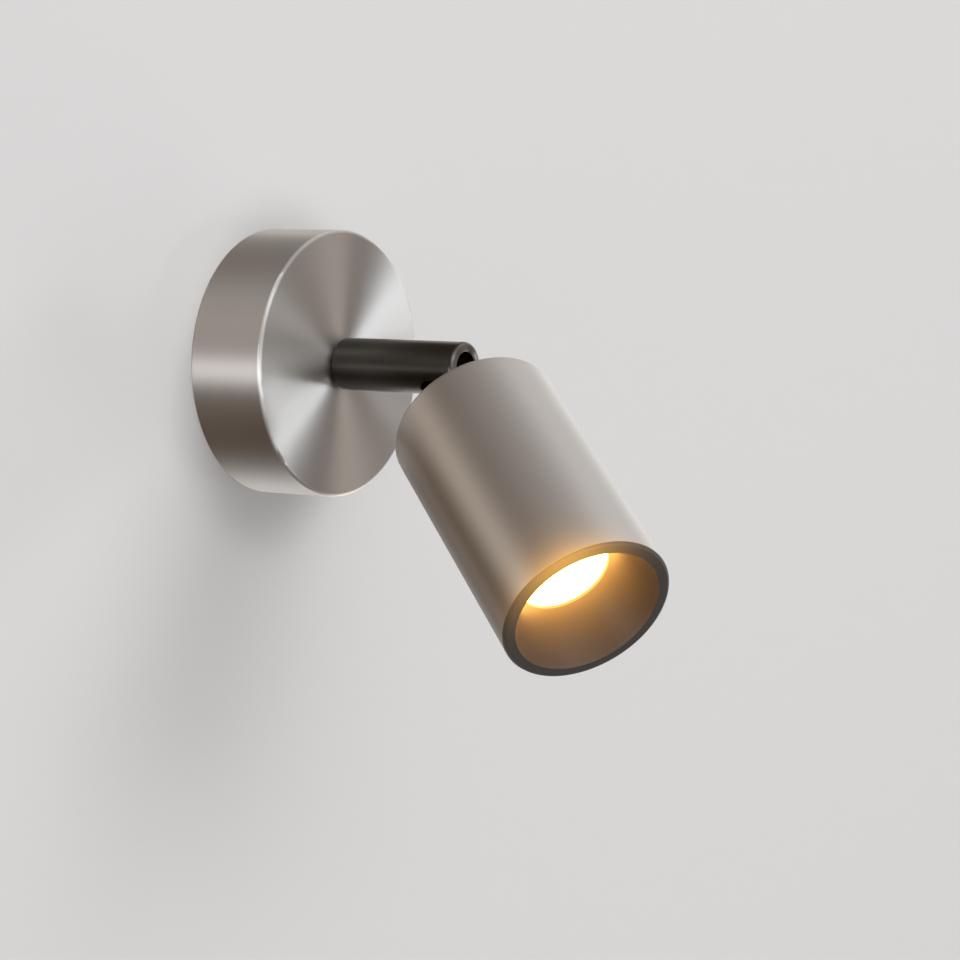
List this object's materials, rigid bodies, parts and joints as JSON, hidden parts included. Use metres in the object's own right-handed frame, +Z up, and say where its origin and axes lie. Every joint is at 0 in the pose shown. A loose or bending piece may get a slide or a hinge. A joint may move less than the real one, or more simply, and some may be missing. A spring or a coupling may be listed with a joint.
{
  "type": "wall spotlight",
  "caption": "Wall spotlight: round brushed nickel canopy, short black nickel arm with a hollow knuckle, tilting cylindrical LED head with a dark recessed front.",
  "frame": {"origin": "centre of the canopy's wall face, on the arm's axis", "axes": "+Y into the wall, -Y into the room along the arm, +Z up"},
  "size_m": [0.1032, 0.1531, 0.1207],
  "materials": {
    "brushed_nickel": "brushed, turned face",
    "satin_nickel": "fine satin plated",
    "black_nickel": "polished black nickel",
    "black_anodised": "matte anodised",
    "zinc_steel": "zinc plated",
    "steel_screw": "plain",
    "brass": "machined",
    "raw_aluminium": "as cast",
    "white_plastic": "moulded",
    "black_plastic": "moulded",
    "black_rubber": "matte",
    "brown_insulation": "soft",
    "earth_insulation": "soft",
    "circuit_board": "coated",
    "white_board": "white coated",
    "thermal_pad": "soft",
    "led_surface": "phosphor",
    "lens_glass": "frosted front"
  },
  "bodies": {
    "wall_base": {"wall_plate": "zinc_steel", "cable_bush": "black_rubber", "canopy": "brushed_nickel", "canopy_screw": "steel_screw", "stop_pin": "steel_screw", "friction_washer": "black_plastic", "driver_case": "white_plastic", "driver_cover": "white_plastic", "driver_board": "circuit_board", "driver_screws": "steel_screw", "terminal_block": "white_plastic", "terminal_clamps": "brass", "terminal_screws": "steel_screw", "block_screws": "steel_screw", "supply_leads": "brown_insulation", "earth_screw": "brass", "earth_tag": "zinc_steel", "earth_lead": "earth_insulation", "output_lead": "black_plastic"},
    "arm": {"arm_tube": "black_nickel", "arm_washer": "black_rubber", "arm_nipple": "brass", "stop_washer": "zinc_steel", "spring_washer": "steel_screw", "lock_nut": "brass", "pivot_screw": "steel_screw", "pivot_washers": "black_plastic", "arm_lead": "black_plastic"},
    "head": {"knuckle": "black_nickel", "neck_washer": "zinc_steel", "neck_nut": "zinc_steel", "head_housing": "satin_nickel", "heat_sink": "raw_aluminium", "thermal_pad": "thermal_pad", "led_board": "white_board", "board_screws": "steel_screw", "led_package": "white_board", "led_emitter": "led_surface", "lens_cup": "black_plastic", "lens": "lens_glass", "front_baffle": "black_anodised", "seal_ring": "black_rubber", "head_lead": "black_plastic"}
  },
  "joints": [
    {"name": "arm_turn", "type": "hinge", "parent": "wall_base", "child": "arm", "pos_m": [0, 0, 0], "axis": [0, 1, 0], "range_deg": [-198.8, 131.2]},
    {"name": "head_tilt", "type": "hinge", "parent": "arm", "child": "head", "pos_m": [0, -0.061, 0], "axis": [0.831, 0, -0.5563], "range_deg": [-44.3, 45.7]}
  ]
}
